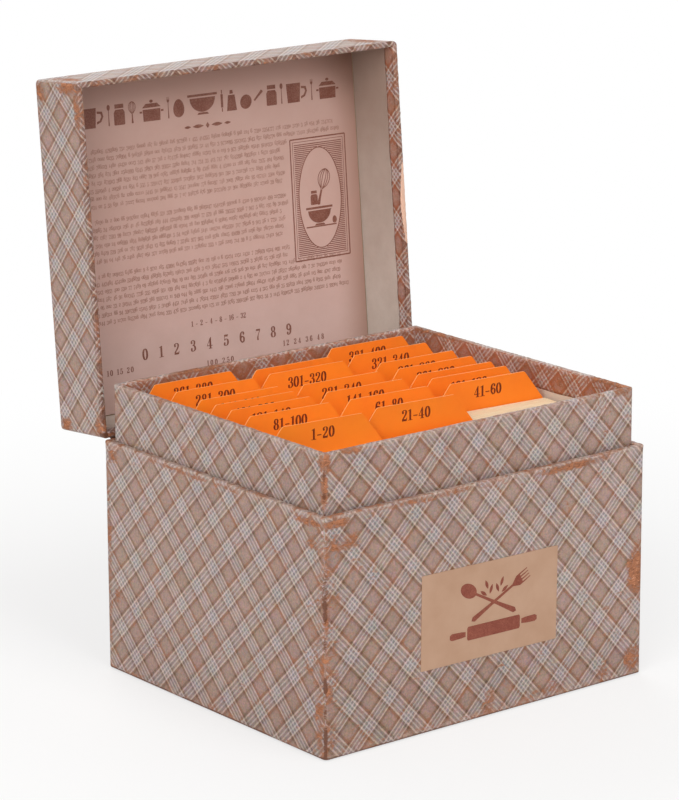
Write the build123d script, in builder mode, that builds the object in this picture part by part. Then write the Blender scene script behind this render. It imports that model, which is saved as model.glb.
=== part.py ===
from build123d import *
from math import cos, radians, sin, sqrt
import os

# Recipe card box: a paper-covered tray with a taller inner tray (the neck) glued into it, and a
# shallow lid on a paper hinge along the back. Lengths are millimetres. The origin is the middle of
# the tray's underside, +Z is up, +X is right and the label faces -Y. The lid stands open, at rest.

# File cards, 6 by 4 inches, and the guides that stand among them
card_width = 152.4
card_height = 101.6
guide_thickness = 0.5
tab_height = 12.7
tab_top_width = 38.0
tab_side_run = 9.7
tab_corner_radius = 1.5
LEFT, MIDDLE, RIGHT = -1, 0, 1
guide_tabs = (
    LEFT, MIDDLE, RIGHT, MIDDLE, LEFT, RIGHT, LEFT, MIDDLE, RIGHT, LEFT,
    RIGHT, MIDDLE, LEFT, RIGHT, LEFT, MIDDLE, RIGHT, MIDDLE, LEFT, RIGHT,
)
# Clear space behind each guide but the last, from the front to the back
guide_spaces = (
    2.8, 13.7, 2.5, 0.7, 6.9, 4.9, 0.9, 1.7, 6.9, 4.3,
    0.9, 3.7, 6.0, 10.6, 0.9, 4.3, 3.9, 4.7, 5.2,
)
front_pack_thickness = 12.0
pack_space = 3.5  # a space this wide or wider holds a pack of recipe cards
card_play = 0.45  # air between a card and what stands next to it
bundle_thickness = 1.3  # a pack's cards stand in small bundles
bundle_drop = 0.7  # how far the lowest bundle's edge lies under the highest
bundle_levels = 4  # heights that the bundles' edges take
bundle_level_step = 3  # levels from one bundle to the next, counted round
front_skew = 5.2  # the cards stand askew: degrees that their right ends come forward
back_skew = 2.0

# Boards and papers
base_board = 2.5
neck_board = 2.2
lid_board = 2.0
floor_board = 3.5
paper = 0.25

# Tray, neck and lid
base_depth = 147.0
base_height = 99.0
lid_height = 31.0
side_room = 2.1  # between a card's end and the neck's lining
head_room = 0.95  # the neck's rim stands this far above the tabs
lid_overhang = 0.8  # the lid reaches this far past the tray's front
seam_gap = 0.3  # the lid's rim stays this far above the tray's when closed
swing_clearance = 0.3  # between the lid's front wall and the neck's front rim as the lid swings
base_corner = 1.8
neck_corner = 1.5
lid_corner = 1.8
base_turn_in = 12.0
base_turn_under = 15.0
base_sheet_margin = 3.0
neck_turn_in = 11.0
neck_wrap_tuck = 10.0  # how far the neck's paper runs down behind the tray's rim
lid_turn_in = 6.0
lid_sheet_margin = 0.5
lid_open_angle = 95.0

# Paper hinge and label
hinge_flap = 24.0
hinge_side_margin = 4.0
label_width = 71.5
label_height = 39.5
label_centre_x = 0.3
label_centre_z = 45.7
label_tilt = -0.8

# Widths and heights that follow
base_wall = paper + base_board + paper
neck_wall = paper + neck_board + paper
lid_wall = paper + lid_board + paper
neck_width = card_width + 2 * (side_room + neck_wall)
base_width = neck_width + 2 * base_wall
base_floor_z = 2 * paper
neck_floor_z = base_floor_z + floor_board
lining_z = neck_floor_z + floor_board
cards_z = lining_z + paper
neck_top = cards_z + card_height + tab_height + head_room
neck_rise = neck_top - base_height

# The lid turns about the hinge paper's outer face, level with the tray's rim
hinge_y = base_depth / 2 + paper
hinge_z = base_height
lid_depth = base_depth + lid_overhang
lid_front_reach = paper + lid_depth - lid_wall - swing_clearance

# The neck stands inside the tray's walls, and its front far enough back for the lid's front wall
# to swing over its rim
neck_back = base_depth / 2 - base_wall
swing_front = hinge_y - sqrt(lid_front_reach**2 - neck_rise**2)
neck_front = max(base_wall - base_depth / 2, swing_front)
neck_depth = neck_back - neck_front
neck_centre = (neck_back + neck_front) / 2
neck_inner_back = neck_back - neck_wall

os.makedirs("parts", exist_ok=True)


def save(part, label):
    """Names the finished piece and writes it."""
    part.label = label
    export_step(part, f"parts/{label}.step")


def rounded(width, depth, radius, mode=Mode.ADD):
    """Adds to the open sketch a rectangle with rounded corners, or a plain one for no radius."""
    if radius > 0:
        RectangleRounded(width, depth, radius, mode=mode)
    else:
        Rectangle(width, depth, mode=mode)


def frame_outline(width, depth, wall, radius):
    """Adds to the open sketch a frame, wall wide, with rounded outer corners."""
    rounded(width, depth, radius)
    rounded(width - 2 * wall, depth - 2 * wall, radius - wall, mode=Mode.SUBTRACT)


def board_walls(names, plane, width, depth, board, height, corner):
    """Makes the four wall boards of a tray on a plane: front and back full width, sides between."""
    for name, side in ((names[0], -1), (names[1], 1)):
        with BuildPart() as end_board:
            with BuildSketch(plane) as outline:
                with Locations((0, side * (depth - board) / 2)):
                    Rectangle(width, board)
                outer_corners = outline.vertices().group_by(Axis((0, 0, 0), (0, side, 0)))[-1]
                fillet(outer_corners, corner)
            extrude(amount=height)
        save(end_board.part, name)
    for name, side in ((names[2], -1), (names[3], 1)):
        with BuildPart() as side_board:
            with BuildSketch(plane):
                with Locations((side * (width - board) / 2, 0)):
                    Rectangle(board, depth - 2 * board)
            extrude(amount=height)
        save(side_board.part, name)


# Tray: floor and wall boards
with BuildPart() as base_floor:
    with BuildSketch(Plane.XY.offset(base_floor_z)):
        inset = 2 * (paper + base_board)
        Rectangle(base_width - inset, base_depth - inset)
    extrude(amount=floor_board)
save(base_floor.part, "base_floor_board")

board_walls(
    ("base_front_board", "base_back_board", "base_left_board", "base_right_board"),
    Plane.XY.offset(base_floor_z),
    base_width - 2 * paper,
    base_depth - 2 * paper,
    base_board,
    base_height - paper - base_floor_z,
    base_corner - paper,
)

# Tray: covering paper, turned in over the rim and under the bottom edges
with BuildPart() as base_wrap:
    with BuildSketch(Plane.XY.offset(paper)):
        frame_outline(base_width, base_depth, paper, base_corner)
    extrude(amount=base_height - paper)
    with BuildSketch(Plane.XY.offset(base_height - paper)):
        frame_outline(base_width, base_depth, base_wall, base_corner)
    extrude(amount=paper)
    with BuildSketch(Plane.XY.offset(base_height - base_turn_in)):
        inset = 2 * (paper + base_board)
        frame_outline(base_width - inset, base_depth - inset, paper, 0)
    extrude(amount=base_turn_in)
    with BuildSketch(Plane.XY.offset(paper)):
        frame_outline(base_width, base_depth, base_turn_under, base_corner)
    extrude(amount=paper)
save(base_wrap.part, "base_wrap")

# Tray: sheet that covers the underside
with BuildPart() as base_bottom_sheet:
    with BuildSketch():
        Rectangle(base_width - 2 * base_sheet_margin, base_depth - 2 * base_sheet_margin)
    extrude(amount=paper)
save(base_bottom_sheet.part, "base_bottom_sheet")

# Tray: label on the front
label_origin = (label_centre_x, -base_depth / 2, label_centre_z)
label_along = (cos(radians(label_tilt)), 0, sin(radians(label_tilt)))
label_plane = Plane(origin=label_origin, x_dir=label_along, z_dir=(0, -1, 0))
with BuildPart() as front_label:
    with BuildSketch(label_plane):
        Rectangle(label_width, label_height)
    extrude(amount=paper)
save(front_label.part, "front_label")

# Neck: floor and wall boards
neck_plane = Plane(origin=(0, neck_centre, neck_floor_z))
with BuildPart() as neck_floor:
    with BuildSketch(neck_plane):
        inset = 2 * (paper + neck_board)
        Rectangle(neck_width - inset, neck_depth - inset)
    extrude(amount=floor_board)
save(neck_floor.part, "neck_floor_board")

board_walls(
    ("neck_front_board", "neck_back_board", "neck_left_board", "neck_right_board"),
    neck_plane,
    neck_width - 2 * paper,
    neck_depth - 2 * paper,
    neck_board,
    neck_top - paper - neck_floor_z,
    neck_corner - paper,
)

# Neck: covering paper, from behind the tray's rim up and over its own
neck_wrap_z = base_height - neck_wrap_tuck
with BuildPart() as neck_wrap:
    with BuildSketch(Plane(origin=(0, neck_centre, neck_wrap_z))):
        frame_outline(neck_width, neck_depth, paper, neck_corner)
    extrude(amount=neck_top - neck_wrap_z)
    with BuildSketch(Plane(origin=(0, neck_centre, neck_top - paper))):
        frame_outline(neck_width, neck_depth, neck_wall, neck_corner)
    extrude(amount=paper)
    with BuildSketch(Plane(origin=(0, neck_centre, neck_top - neck_turn_in))):
        inset = 2 * (paper + neck_board)
        frame_outline(neck_width - inset, neck_depth - inset, paper, 0)
    extrude(amount=neck_turn_in)
save(neck_wrap.part, "neck_wrap")

# Neck: pale lining, on the floor and up the walls to the edge of the turned-in paper
with BuildPart() as neck_lining:
    with BuildSketch(Plane(origin=(0, neck_centre, lining_z))):
        inset = 2 * (paper + neck_board)
        Rectangle(neck_width - inset, neck_depth - inset)
    extrude(amount=paper)
    with BuildSketch(Plane(origin=(0, neck_centre, lining_z))):
        frame_outline(neck_width - inset, neck_depth - inset, paper, 0)
    extrude(amount=neck_top - neck_turn_in - lining_z)
save(neck_lining.part, "neck_lining")

# Lid, built on a plane that turns with it: local Z points out of its top when it is closed,
# and local Y runs along its depth, from the front at its lowest value to the hinge at 0
hinge_plane = Plane(origin=(0, hinge_y, hinge_z)).rotated((-lid_open_angle, 0, 0))
lid_centre = -paper - lid_depth / 2
lid_top = seam_gap + lid_height


def lid_plane(height):
    """The lid's own plane, through the middle of its outline, at a height above the tray's rim."""
    plane = hinge_plane.offset(height)
    return plane.shift_origin(plane.from_local_coords((0, lid_centre, 0)))


lid_panel_z = lid_top - paper - lid_board
with BuildPart() as lid_panel:
    with BuildSketch(lid_plane(lid_panel_z)):
        rounded(base_width - 2 * paper, lid_depth - 2 * paper, lid_corner - paper)
    extrude(amount=lid_board)
save(lid_panel.part, "lid_top_board")

board_walls(
    ("lid_front_board", "lid_back_board", "lid_left_board", "lid_right_board"),
    lid_plane(seam_gap + paper),
    base_width - 2 * paper,
    lid_depth - 2 * paper,
    lid_board,
    lid_panel_z - seam_gap - paper,
    lid_corner - paper,
)

# Lid: covering paper over the top and the walls, turned in over the rim
with BuildPart() as lid_wrap:
    with BuildSketch(lid_plane(seam_gap)):
        frame_outline(base_width, lid_depth, paper, lid_corner)
    extrude(amount=lid_height)
    with BuildSketch(lid_plane(lid_top - paper)):
        rounded(base_width, lid_depth, lid_corner)
    extrude(amount=paper)
    with BuildSketch(lid_plane(seam_gap)):
        frame_outline(base_width, lid_depth, lid_wall, lid_corner)
    extrude(amount=paper)
    with BuildSketch(lid_plane(seam_gap)):
        inset = 2 * (paper + lid_board)
        frame_outline(base_width - inset, lid_depth - inset, paper, 0)
    extrude(amount=lid_turn_in)
save(lid_wrap.part, "lid_wrap")

# Lid: pale lining on the insides of the walls
with BuildPart() as lid_lining:
    with BuildSketch(lid_plane(seam_gap + lid_turn_in)):
        inset = 2 * (paper + lid_board)
        frame_outline(base_width - inset, lid_depth - inset, paper, 0)
    extrude(amount=lid_panel_z - seam_gap - lid_turn_in)
save(lid_lining.part, "lid_lining")

# Lid: sheet pasted inside the top
with BuildPart() as lid_sheet:
    with BuildSketch(lid_plane(lid_panel_z - paper)):
        inset = 2 * (lid_wall + lid_sheet_margin)
        Rectangle(base_width - inset, lid_depth - inset)
    extrude(amount=paper)
save(lid_sheet.part, "lid_sheet")

# Paper hinge: one flap pasted on the tray's back, the other on the lid's back wall
hinge_width = base_width - 2 * hinge_side_margin
flap_length = hinge_flap - seam_gap
flap_origin = (0, base_depth / 2, hinge_z - seam_gap)
with BuildPart() as hinge_base_flap:
    with BuildSketch(Plane(origin=flap_origin, x_dir=(-1, 0, 0), z_dir=(0, 1, 0))):
        Rectangle(hinge_width, flap_length, align=(Align.CENTER, Align.MAX))
    extrude(amount=paper)
save(hinge_base_flap.part, "hinge_base_flap")

with BuildPart() as hinge_lid_flap:
    with BuildSketch(hinge_plane.offset(seam_gap)):
        Rectangle(hinge_width, paper, align=(Align.CENTER, Align.MAX))
    extrude(amount=flap_length)
save(hinge_lid_flap.part, "hinge_lid_flap")

# Places of the guides, reckoned from the back of the neck to its front
widest_skew = card_width / 2 * sin(radians(back_skew))
last_guide_y = neck_inner_back - card_play - guide_thickness / 2 - widest_skew
guide_y = [last_guide_y]
for space in reversed(guide_spaces):
    guide_y.insert(0, guide_y[0] - space - guide_thickness)
first_guide_y = guide_y[0]


def skew(y):
    """How far a card at this place is turned: the row is straighter towards its back."""
    share = (y - first_guide_y) / (last_guide_y - first_guide_y)
    return radians(front_skew + (back_skew - front_skew) * share)


def guide_outline(tab):
    """The corners of a guide: a card with one tab, a third of its width along."""
    tab_reach = tab_top_width / 2 + tab_side_run
    tab_centre = tab * (card_width / 2 - tab_reach)
    top = card_height + tab_height
    points = [(-card_width / 2, 0), (card_width / 2, 0), (card_width / 2, card_height)]
    if tab != RIGHT:
        points.append((tab_centre + tab_reach, card_height))
    points.append((tab_centre + tab_top_width / 2, top))
    points.append((tab_centre - tab_top_width / 2, top))
    if tab != LEFT:
        points.append((tab_centre - tab_reach, card_height))
    points.append((-card_width / 2, card_height))
    return points


# Guides with tabs, each in the plane that it stands in
for number, (tab, y) in enumerate(zip(guide_tabs, guide_y), start=1):
    turn = skew(y)
    across = (cos(turn), -sin(turn), 0)
    facing = (-sin(turn), -cos(turn), 0)
    with BuildPart() as guide:
        with BuildSketch(Plane(origin=(0, y, cards_z), x_dir=across, z_dir=facing)) as guide_face:
            with BuildLine():
                Polyline(*guide_outline(tab), close=True)
            make_face()
            fillet(guide_face.vertices().group_by(Axis.Y)[-1], tab_corner_radius)
        extrude(amount=guide_thickness / 2, both=True)
    save(guide.part, f"guide_{number:02d}")

# Packs of recipe cards: one before the first guide, and one in each space that is wide enough
front_pack_y = first_guide_y - guide_thickness / 2 - card_play - front_pack_thickness / 2
packs = [(front_pack_y, front_pack_thickness)]
for y, space in zip(guide_y, guide_spaces):
    if space >= pack_space:
        packs.append((y + guide_thickness / 2 + space / 2, space - 2 * card_play))

for number, (y, thickness) in enumerate(packs, start=1):
    turn = skew(y)
    across = (cos(turn), -sin(turn), 0)
    backward = (sin(turn), cos(turn), 0)
    bundles = max(1, round(thickness / bundle_thickness))
    step = thickness / bundles
    with BuildPart() as pack:
        with BuildSketch(Plane(origin=(0, y, cards_z), x_dir=backward, z_dir=across)):
            for bundle in range(bundles):
                level = (bundle_level_step * bundle + number) % bundle_levels
                edge_height = card_height - bundle_drop * level / (bundle_levels - 1)
                with Locations((bundle * step - thickness / 2, 0)):
                    Rectangle(step, edge_height, align=(Align.MIN, Align.MIN))
        extrude(amount=card_width / 2, both=True)
    save(pack.part, f"recipe_cards_{number:02d}")
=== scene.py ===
import math
import random
from collections import namedtuple

import bmesh
import bpy
import numpy as np
from mathutils import Matrix, Vector, noise


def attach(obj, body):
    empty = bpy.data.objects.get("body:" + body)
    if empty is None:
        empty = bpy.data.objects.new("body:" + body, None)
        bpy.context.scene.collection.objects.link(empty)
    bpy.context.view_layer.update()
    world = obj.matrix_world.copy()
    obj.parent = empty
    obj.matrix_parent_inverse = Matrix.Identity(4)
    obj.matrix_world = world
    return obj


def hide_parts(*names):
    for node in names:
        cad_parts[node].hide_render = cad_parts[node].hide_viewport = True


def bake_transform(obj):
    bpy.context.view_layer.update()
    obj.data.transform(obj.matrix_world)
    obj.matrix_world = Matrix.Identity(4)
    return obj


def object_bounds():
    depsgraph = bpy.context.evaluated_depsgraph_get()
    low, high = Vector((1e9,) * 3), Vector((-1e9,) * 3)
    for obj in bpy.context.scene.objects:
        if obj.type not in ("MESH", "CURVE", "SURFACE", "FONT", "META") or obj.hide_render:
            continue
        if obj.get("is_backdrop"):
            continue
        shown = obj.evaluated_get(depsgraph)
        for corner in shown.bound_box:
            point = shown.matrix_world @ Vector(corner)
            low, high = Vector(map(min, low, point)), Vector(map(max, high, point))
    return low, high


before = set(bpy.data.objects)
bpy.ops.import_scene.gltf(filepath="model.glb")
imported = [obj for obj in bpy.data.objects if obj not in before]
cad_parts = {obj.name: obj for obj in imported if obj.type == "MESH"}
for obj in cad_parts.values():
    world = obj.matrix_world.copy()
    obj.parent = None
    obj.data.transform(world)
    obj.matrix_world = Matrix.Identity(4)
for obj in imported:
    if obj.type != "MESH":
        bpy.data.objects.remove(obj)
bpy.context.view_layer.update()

# Recipe card box, open, with plaid paper over chipboard, orange guides and packs of cream cards.
# Lengths in the tables below are millimetres, as in the part's source; objects are in metres.
MM = 0.001
SEED = 7

base_width, base_depth, base_height, base_wall, base_corner = 168.0, 147.0, 99.0, 3.0, 1.8
base_turn_in, base_turn_under, base_rim = 12.0, 15.0, 0.75
neck_width, neck_front, neck_back, neck_top = 162.0, -69.5035, 70.5, 123.0
neck_wall, neck_corner, neck_turn_in, neck_low, neck_rim = 2.7, 1.5, 11.0, 89.0, 0.7
neck_depth, neck_centre = neck_back - neck_front, (neck_back + neck_front) / 2
lid_depth, lid_height, lid_wall, lid_corner, lid_turn_in, lid_rim = 147.8, 31.0, 2.5, 1.8, 6.0, 0.7
seam_gap, paper = 0.3, 0.25
hinge_y, hinge_z, lid_angle = 73.75, 99.0, math.radians(-95.0)
hinge_width, hinge_flap, hinge_step, hinge_columns = 160.0, 23.7, 1.5, 64
lid_centre, lid_low, lid_high = -paper - lid_depth / 2, seam_gap, seam_gap + lid_height
card_width, card_height, cards_z, card_pitch, pack_gap = 152.4, 101.6, 7.75, 0.31, 0.45
guide_thickness, tab_top_width, tab_side_run = 0.5, 38.0, 9.7
guide_tabs = "LMRMLRLMRLRMLRLMRMLR"
guide_spaces = (2.8, 13.7, 2.5, 0.7, 6.9, 4.9, 0.9, 1.7, 6.9, 4.3,
                0.9, 3.7, 6.0, 10.6, 0.9, 4.3, 3.9, 4.7, 5.2)
front_skew, back_skew = 5.2, 2.0
number_height, number_rise = 4.7, 5.2


# ---- helpers

def add_object(name, data):
    """Puts new data in the scene as an object."""
    obj = bpy.data.objects.new(name, data)
    bpy.context.scene.collection.objects.link(obj)
    return obj


def make_object(name, verts, faces, material, body=None, smooth=False):
    """A mesh object from points in millimetres, riding on a body if one is named."""
    mesh = bpy.data.meshes.new(name)
    mesh.from_pydata([tuple(c * MM for c in v) for v in verts], [], faces)
    mesh.materials.append(material)
    obj = add_object(name, mesh)
    mesh.polygons.foreach_set("use_smooth", [smooth] * len(mesh.polygons))
    mesh.validate()
    mesh.update()
    if body:
        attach(obj, body)
    return obj


def paint(obj, material):
    """Gives all of an object's material slots one material."""
    for slot in obj.material_slots:
        slot.material = material


def lid_to_row(x, y, z):
    """From the closed lid's own frame, hinge at the origin, to where the lid stands at rest."""
    c, s = math.cos(lid_angle), math.sin(lid_angle)
    return x, hinge_y + y * c - z * s, hinge_z + y * s + z * c


def wobble(x, y, z, size, seed):
    """Smooth noise from -1 to 1, with lumps about size millimetres across."""
    return noise.noise(Vector((x / size + seed * 17.3, y / size - seed * 5.1, z / size + seed * 3.7)))


def limit(value, high=1.0):
    """The value, kept between 0 and high."""
    return min(high, max(0.0, value))


def fade(distance, width):
    """1 at an edge and before it, falling off past it."""
    return math.exp(-max(0.0, distance) / width)


def hill(*offsets):
    """1 where every offset is 0, falling off smoothly; each row is an offset and its width."""
    return math.exp(-sum((d / w) ** 2 for d, w in offsets))


# ---- materials

class Graph:
    """Builds the nodes of one material, or of the world."""

    def __init__(self, name, owner=bpy.data.materials):
        self.block = owner.new(name)
        self.block.use_nodes = True
        self.tree = self.block.node_tree
        self.tree.nodes.clear()

    def node(self, kind, inputs=(), out=0, **settings):
        """A new node's output, or all of its outputs where out is None."""
        made = self.tree.nodes.new(kind)
        for key, value in settings.items():
            setattr(made, key, value)
        for key, value in dict(inputs).items():
            if isinstance(value, bpy.types.NodeSocket):
                self.tree.links.new(value, made.inputs[key])
            else:
                made.inputs[key].default_value = value
        return made.outputs if out is None else made.outputs[out]

    def math(self, operation, *values):
        return self.node("ShaderNodeMath", enumerate(values), operation=operation)

    def times(self, first, second):
        return self.math("MULTIPLY", first, second)

    def plus(self, first, second):
        return self.math("ADD", first, second)

    def weigh(self, value, weight, base):
        """The base plus the value times its weight."""
        return self.math("MULTIPLY_ADD", value, weight, base)

    def largest(self, first, second):
        return self.math("MAXIMUM", first, second)

    def vector(self, operation, *values):
        out = "Value" if operation in ("LENGTH", "DOT_PRODUCT") else "Vector"
        return self.node("ShaderNodeVectorMath", enumerate(values), out, operation=operation)

    def split(self, value):
        return self.node("ShaderNodeSeparateXYZ", {0: value}, None)

    def place(self):
        return self.node("ShaderNodeTexCoord", out="Object")

    def noise(self, place, size, detail=2.0, roughness=0.5, distortion=0.0, out="Fac"):
        """Noise with lumps about size millimetres across."""
        return self.node("ShaderNodeTexNoise", {"Vector": place, "Scale": 1000.0 / size, "Detail": detail,
                         "Roughness": roughness, "Distortion": distortion}, out)

    def ramp(self, value, stops):
        made = self.node("ShaderNodeValToRGB", {0: value})
        elements = made.node.color_ramp.elements
        while len(elements) < len(stops):
            elements.new(0.5)
        for element, (place, colour) in zip(elements, stops):
            element.position = place
            element.color = (*colour, 1)
        return made

    def span(self, value, low, high, to_low=0.0, to_high=1.0, smooth=False):
        """The value's way from low to high, carried over to another pair of ends."""
        return self.node("ShaderNodeMapRange", {0: value, 1: low, 2: high, 3: to_low, 4: to_high},
                         interpolation_type="SMOOTHSTEP" if smooth else "LINEAR")

    def mix(self, factor, first, second, darker=1.0):
        """Mixes two colours, each a socket or three numbers from 0 to 255; darker is for the second."""
        if isinstance(first, tuple):
            first = srgb(*first)
        if isinstance(second, tuple):
            second = tuple(c * darker for c in srgb(*second)[:3]) + (1.0,)
        # The node keeps its colours in sockets 6 and 7 and the mixed one in output 2
        return self.node("ShaderNodeMix", {0: factor, 6: first, 7: second}, 2, data_type="RGBA")

    def bump(self, height, distance, strength, normal=None):
        inputs = {"Strength": strength, "Distance": distance, "Height": height}
        if normal is not None:
            inputs["Normal"] = normal
        return self.node("ShaderNodeBump", inputs)

    def shader(self, colour, roughness, normal, specular=0.35):
        return self.output(self.node("ShaderNodeBsdfPrincipled", {
            "Base Color": colour, "Roughness": roughness, "Specular IOR Level": specular, "Normal": normal}))

    def output(self, surface, kind="ShaderNodeOutputMaterial"):
        self.node(kind, {"Surface": surface}, None)
        return self.block


def srgb(r, g, b):
    """A colour from 0 to 255 as it looks on a screen, as the shader's linear numbers."""
    return tuple(((c / 255 + 0.055) / 1.055) ** 2.4 if c > 10 else c / 3294.6 for c in (r, g, b)) + (1.0,)


# The plaid's bands, from a family's middle line outwards: place and change of the ground's colour
band_rows = [(0.000, (-8, -1, 4)), (0.058, (-8, -1, 4)), (0.090, (24, 33, 40)), (0.148, (24, 33, 40)),
             (0.182, (-8, -2, 2)), (0.306, (-7, -3, 1)), (0.338, (31, 35, 36)), (0.400, (32, 36, 36)),
             (0.446, (-19, -22, -24)), (0.560, (-23, -26, -29)), (0.605, (-5, -6, -7)), (0.740, (2, 1, 1))]
plaid_ground = tuple(c / 255 for c in (149, 125, 114))


def plaid_paper():
    """Coated paper printed with a diagonal plaid, scuffed to its rust-coloured body on the edges."""
    g = Graph("plaid_paper")
    place = g.place()
    across, deep, height = g.split(place)
    phase = g.split(g.node("ShaderNodeUVMap", uv_map="Plaid"))
    wear = g.node("ShaderNodeAttribute", out="Fac", attribute_name="wear")
    rim_highlight_and_tear = g.node("ShaderNodeAttribute", out="Fac", attribute_name="rim_highlight_and_tear")
    drift = g.split(g.noise(place, 9.0, 1.0, out="Color"))
    ragged = g.split(g.noise(place, 0.7, 2.0, out="Color"))

    def band(number):
        moved = g.weigh(g.math("SUBTRACT", drift[number], 0.5), 0.02, phase[number])
        moved = g.weigh(g.math("SUBTRACT", ragged[number], 0.5), 0.018, moved)
        apart = g.times(g.math("PINGPONG", moved, 0.5), 2.0)
        return g.ramp(apart, [(p, tuple(0.5 + c / 255 for c in change)) for p, change in band_rows])

    ink = g.vector("ADD", g.vector("ADD", band(0), band(1)), tuple(c - 1 for c in plaid_ground))
    over = g.vector("SUBTRACT", ink, tuple(c + 0.125 for c in plaid_ground))
    over = g.vector("MULTIPLY", g.vector("MAXIMUM", over, (0, 0, 0)), (0.55, 0.55, 0.55))
    ink = g.vector("SUBTRACT", ink, over)
    blotch = g.noise(place, 14.0, 4.0, 0.6)
    shade = g.plus(g.span(g.noise(place, 0.35, 3.0, 0.7), 0.3, 0.7, -0.030, 0.030),
                   g.span(blotch, 0.3, 0.7, -0.022, 0.022))
    # Painted light: the plaid is painted lighter towards the right and towards the back, as the light falls
    # across the box; it is also darker towards the foot, and has a finer random tone
    for value, *ends in ((height, 0.0, 0.045, -0.028, 0.0), (across, -0.084, 0.084, -0.012, 0.026),
                         (deep, -0.074, 0.05, -0.008, 0.012),
                         (g.noise(place, 0.9, 2.0, 0.6), 0.3, 0.7, -0.028, 0.028)):
        shade = g.plus(shade, g.span(value, *ends))
    ink = g.vector("ADD", ink, g.node("ShaderNodeCombineXYZ", {0: shade, 1: shade, 2: shade}))
    for size, amount in ((0.9, 0.22), (7.0, 0.08)):
        tint = g.vector("SUBTRACT", g.noise(place, size, 3.0, 0.7, out="Color"), (0.5, 0.5, 0.5))
        ink = g.vector("ADD", ink, g.vector("MULTIPLY", tint, (amount, amount * 0.6, amount)))
    printed = g.node("ShaderNodeGamma", {"Color": ink, "Gamma": 2.2})

    # The darkest ink has rusted in places
    fine = g.noise(place, 0.7, 4.0, 0.75)
    green = g.split(ink)[1]
    rusted = g.times(g.span(green, 0.465, 0.41), g.span(g.noise(place, 9.0, 4.0, 0.65), 0.48, 0.65))
    rusted = g.times(rusted, g.span(fine, 0.38, 0.58, 0.0, 0.85))
    printed = g.mix(rusted, printed, (152, 92, 58))

    def within(value, low, high, *more):
        """1 where a coordinate lies between two ends, and so do any further ones."""
        inside = g.times(g.math("GREATER_THAN", value, low), g.math("LESS_THAN", value, high))
        return g.times(inside, within(*more)) if more else inside

    # The turned-in paper of the neck, and of the lid's right wall, is rusty between its pale lines
    neck_in = within(across, -0.0788, 0.0788, deep, -0.0672, 0.0685, height, 0.108, 0.2)
    lid_in = within(across, 0.0806, 0.0834, deep, 0.0738, 0.2, height, 0.0995, 0.3)
    squares = g.span(green, 0.60, 0.46, 0.0, 0.72)
    turned = g.plus(neck_in, g.times(lid_in, 0.9))
    printed = g.mix(g.times(turned, squares), printed, (160, 90, 58))

    # So is the lid's rim, and darker
    on_lid_rim = g.times(within(deep, 0.0737, 0.2, height, 0.0995, 0.3), g.span(rim_highlight_and_tear, 0.15, 0.75))
    printed = g.mix(g.times(on_lid_rim, 0.24), printed, (92, 70, 60))
    printed = g.mix(g.times(on_lid_rim, squares), printed, (92, 48, 30))

    # Painted highlight: the rims are painted paler in patches, for the light caught along them
    paler = g.times(g.span(g.noise(place, 1.2, 3.0, 0.6, 0.8), 0.42, 0.62, 0.0, 0.42),
                    g.span(on_lid_rim, 0.0, 1.0, 1.0, 0.3))
    printed = g.mix(g.times(g.largest(rim_highlight_and_tear, 0.0), paler), printed, (216, 190, 174))

    # Where the print has worn: a rusty tint, bare patches with dark outlines, peach scuffs, fine cracks
    relief = g.noise(g.vector("MULTIPLY", place, (1.0, 1.0, 1.5)), 3.6, 4.0, 0.58, 1.0)
    level = g.weigh(g.math("SUBTRACT", fine, 0.5), 0.16, g.weigh(wear, 0.40, relief))
    streaks = g.noise(g.vector("MULTIPLY", place, (0.5, 0.5, 1.3)), 1.3, 4.0, 0.65, 1.2)
    tinted = g.span(level, 0.57, 0.75, 0.0, 0.6, smooth=True)
    bare = g.span(level, 0.725, 0.81, smooth=True)
    outline = g.span(g.math("ABSOLUTE", g.math("SUBTRACT", level, 0.745)), 0.006, 0.035, 0.45, 0.0)
    scuffed = g.span(g.weigh(wear, 0.20, streaks), 0.79, 0.87, smooth=True)

    def cracks(size, width, low, high, weight):
        line = g.math("ABSOLUTE", g.math("SUBTRACT", g.noise(place, size, 4.0, 0.62, 0.9), 0.5))
        there = g.span(g.weigh(wear, weight, g.noise(place, size * 1.7, 3.0, 0.6)), low, high)
        return g.times(g.span(line, width * 0.4, width, 1.0, 0.0), there)

    cracked = g.largest(cracks(16.0, 0.006, 0.57, 0.64, 0.22), cracks(5.0, 0.020, 0.62, 0.75, 0.45))
    soiled = g.span(g.weigh(wear, 0.9, blotch), 0.72, 1.15, 0.0, 0.48)
    # Split paper shows its dark core; the same dark colour is the painted shadow line along the tray's foot
    edge = g.weigh(streaks, 1.1, g.weigh(fine, 0.7, g.times(rim_highlight_and_tear, -1.0)))
    split_and_shadow = g.span(edge, 1.30, 1.50)
    colour = printed
    for amount, shown in (
            (soiled, (92, 66, 54)), (tinted, (162, 102, 68)),
            (g.times(cracked, 0.6), (150, 92, 60)),
            (g.times(bare, 0.82), g.mix(g.span(streaks, 0.36, 0.66), (120, 72, 46), (190, 124, 86))),
            (outline, (112, 74, 54)),
            (g.times(scuffed, 0.85), g.mix(fine, (198, 136, 102), (226, 172, 142))),
            (g.span(rim_highlight_and_tear, 1.6, 1.9), g.mix(streaks, (208, 166, 140), (228, 190, 168))),
            (g.times(split_and_shadow, 0.92), g.mix(fine, (38, 17, 10), (124, 72, 44)))):
        colour = g.mix(amount, colour, shown)

    normal = g.bump(g.noise(place, 11.0, 3.0, 0.5), 0.00035, 0.6)
    rubbed = g.largest(g.largest(g.times(bare, 0.6), scuffed), cracked)
    normal = g.bump(g.times(rubbed, -1.0), 0.00010, 0.8, normal)
    normal = g.bump(g.noise(place, 0.25, 3.0, 0.6), 0.00003, 0.5, normal)
    rough = g.plus(g.span(bare, 0.0, 1.0, 0.52, 0.85), g.span(blotch, 0.3, 0.7, -0.06, 0.06))
    return g.shader(colour, rough, normal, specular=0.4)


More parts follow.
